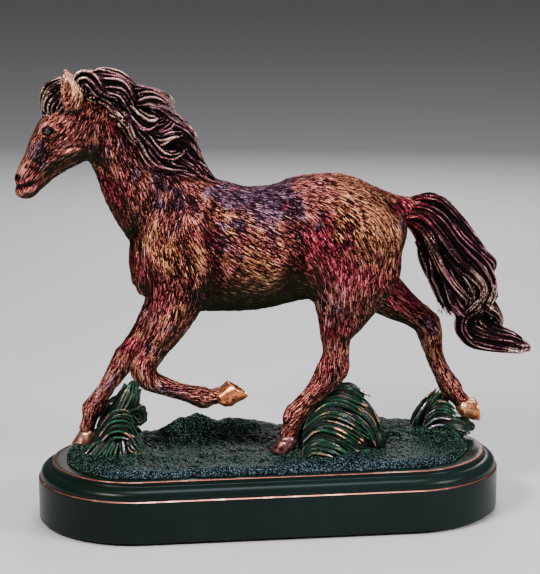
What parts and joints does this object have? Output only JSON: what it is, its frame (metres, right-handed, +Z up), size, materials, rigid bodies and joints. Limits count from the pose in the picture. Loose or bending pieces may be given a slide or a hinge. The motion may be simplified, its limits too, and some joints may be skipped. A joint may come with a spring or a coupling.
{
  "type": "horse statuette",
  "caption": "Trotting horse figure with swept mane and tail on a grassy ground casting, mounted on an oval moulded plinth.",
  "frame": {"origin": "centre of the felt underside that the statuette stands on", "axes": "+Z up, the horse faces -X, its left (near) side is on -Y"},
  "size_m": [0.2648, 0.1, 0.2315],
  "materials": {
    "bronze": "dark red-brown bronze patina rubbed back to copper on the high points",
    "hair_bronze": "black-brown patina with copper strand ridges",
    "hoof_copper": "polished orange copper",
    "eye_black": "gloss black bead",
    "ground_green": "dark green stippled patina",
    "grass_green": "dark green patina with rubbed copper blade edges",
    "black_lacquer": "gloss black lacquer with two fine copper lines",
    "felt": "black felt",
    "screw_steel": "zinc plated",
    "insert_brass": "machined brass"
  },
  "bodies": {
    "root": {"torso": "bronze", "head_neck": "bronze", "near_fore_leg": "bronze", "off_fore_leg": "bronze", "near_hind_leg": "bronze", "off_hind_leg": "bronze", "near_fore_hoof": "hoof_copper", "off_fore_hoof": "hoof_copper", "near_hind_hoof": "hoof_copper", "off_hind_hoof": "hoof_copper", "near_ear": "bronze", "off_ear": "bronze", "near_eye": "eye_black", "off_eye": "eye_black", "mane": "hair_bronze", "forelock": "hair_bronze", "tail": "hair_bronze", "ground": "ground_green", "fore_tuft": "grass_green", "near_hind_tuft": "grass_green", "off_hind_tuft": "grass_green", "plinth": "black_lacquer", "felt_pad": "felt", "plinth_screws": "screw_steel", "ground_inserts": "insert_brass", "leg_pins": "screw_steel"}
  },
  "joints": []
}
